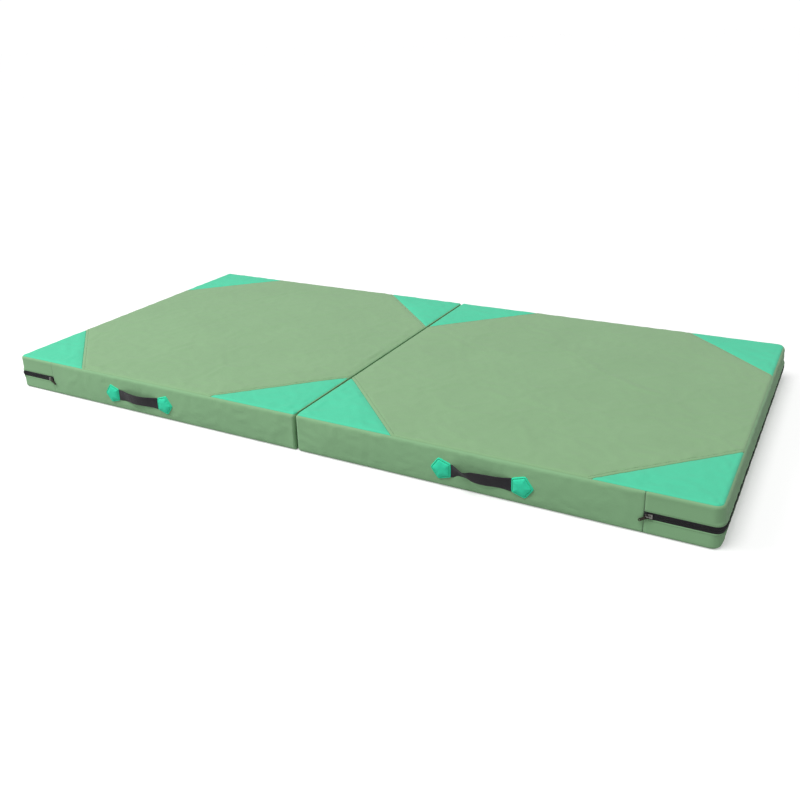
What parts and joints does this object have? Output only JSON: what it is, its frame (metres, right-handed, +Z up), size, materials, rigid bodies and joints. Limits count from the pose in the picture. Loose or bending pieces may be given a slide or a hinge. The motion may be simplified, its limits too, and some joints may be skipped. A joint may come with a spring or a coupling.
{
  "type": "folding gym mat",
  "caption": "Thick folding gym mat of square foam panels in sage green covers, with mint corner patches, webbing carrying handles and zipped ends.",
  "frame": {"origin": "centre of the opened mat's footprint, on the surface that it lies on, under the fold", "axes": "+X along the opened length to the right panel's zipped end, +Y away from the handles, +Z up from the floor"},
  "size_m": [2.0024, 1.0199, 0.1],
  "materials": {
    "green_canvas": "matte",
    "green_side": "matte",
    "green_base": "matte",
    "mint_canvas": "matte",
    "mint_padding": "matte",
    "black_webbing": "matte",
    "black_tape": "matte",
    "black_coil": "satin",
    "nickel": "satin",
    "dark_stops": "satin",
    "firm_foam": "matte",
    "soft_foam": "matte"
  },
  "bodies": {
    "left_panel": {"bottom_sheet_left": "green_base", "corner_patch_left_back_inner": "mint_canvas", "corner_patch_left_back_outer": "mint_canvas", "corner_patch_left_front_inner": "mint_canvas", "corner_patch_left_front_outer": "mint_canvas", "foam_base_left": "firm_foam", "foam_top_left": "soft_foam", "handle_patch_left_inner": "mint_padding", "handle_patch_left_outer": "mint_padding", "handle_tails_left": "black_webbing", "hinge_web": "green_side", "side_wall_left": "green_side", "top_sheet_left": "green_canvas", "zip_coil_lower_left": "black_coil", "zip_coil_upper_left": "black_coil", "zip_gusset_lower_left": "green_side", "zip_gusset_upper_left": "green_side", "zip_stops_left": "dark_stops", "zip_tape_lower_left": "black_tape", "zip_tape_upper_left": "black_tape"},
    "right_panel": {"bottom_sheet_right": "green_base", "corner_patch_right_back_inner": "mint_canvas", "corner_patch_right_back_outer": "mint_canvas", "corner_patch_right_front_inner": "mint_canvas", "corner_patch_right_front_outer": "mint_canvas", "foam_base_right": "firm_foam", "foam_top_right": "soft_foam", "handle_patch_right_inner": "mint_padding", "handle_patch_right_outer": "mint_padding", "handle_tails_right": "black_webbing", "side_wall_right": "green_side", "top_sheet_right": "green_canvas", "zip_coil_lower_right": "black_coil", "zip_coil_upper_right": "black_coil", "zip_gusset_lower_right": "green_side", "zip_gusset_upper_right": "green_side", "zip_stops_right": "dark_stops", "zip_tape_lower_right": "black_tape", "zip_tape_upper_right": "black_tape"},
    "left_handle": {"handle_strap_left": "black_webbing"},
    "right_handle": {"handle_strap_right": "black_webbing"},
    "left_pull": {"zip_pull_left": "nickel"},
    "right_pull": {"zip_pull_right": "nickel"},
    "left_slider": {"zip_slider_left": "nickel"},
    "right_slider": {"zip_slider_right": "nickel"}
  },
  "joints": [
    {"name": "fold_hinge", "type": "hinge", "parent": "left_panel", "child": "right_panel", "pos_m": [0, 0, 0.1005], "axis": [0, -1, 0], "range_deg": [0, 180], "deforming": ["hinge_web"]},
    {"name": "left_zip_slide", "type": "slide", "parent": "left_panel", "child": "left_slider", "axis": [-1, 0, 0], "range_m": [0, 0.094]},
    {"name": "left_pull_swing", "type": "hinge", "parent": "left_slider", "child": "left_pull", "pos_m": [-0.8749, -0.5038, 0.045], "axis": [-0.5878, 0, -0.809], "range_deg": [0, 120]},
    {"name": "left_handle_swing", "type": "hinge", "parent": "left_panel", "child": "left_handle", "pos_m": [-0.524, -0.5012, 0.046], "axis": [-1, 0, 0], "range_deg": [-35, 35], "deforming": ["handle_strap_left"]},
    {"name": "right_zip_slide", "type": "slide", "parent": "right_panel", "child": "right_slider", "axis": [1, 0, 0], "range_m": [0, 0.109]},
    {"name": "right_pull_swing", "type": "hinge", "parent": "right_slider", "child": "right_pull", "pos_m": [0.8599, -0.5038, 0.045], "axis": [-0.5878, 0, 0.809], "range_deg": [0, 120]},
    {"name": "right_handle_swing", "type": "hinge", "parent": "right_panel", "child": "right_handle", "pos_m": [0.497, -0.5012, 0.046], "axis": [-1, 0, 0], "range_deg": [-35, 35], "deforming": ["handle_strap_right"]}
  ]
}
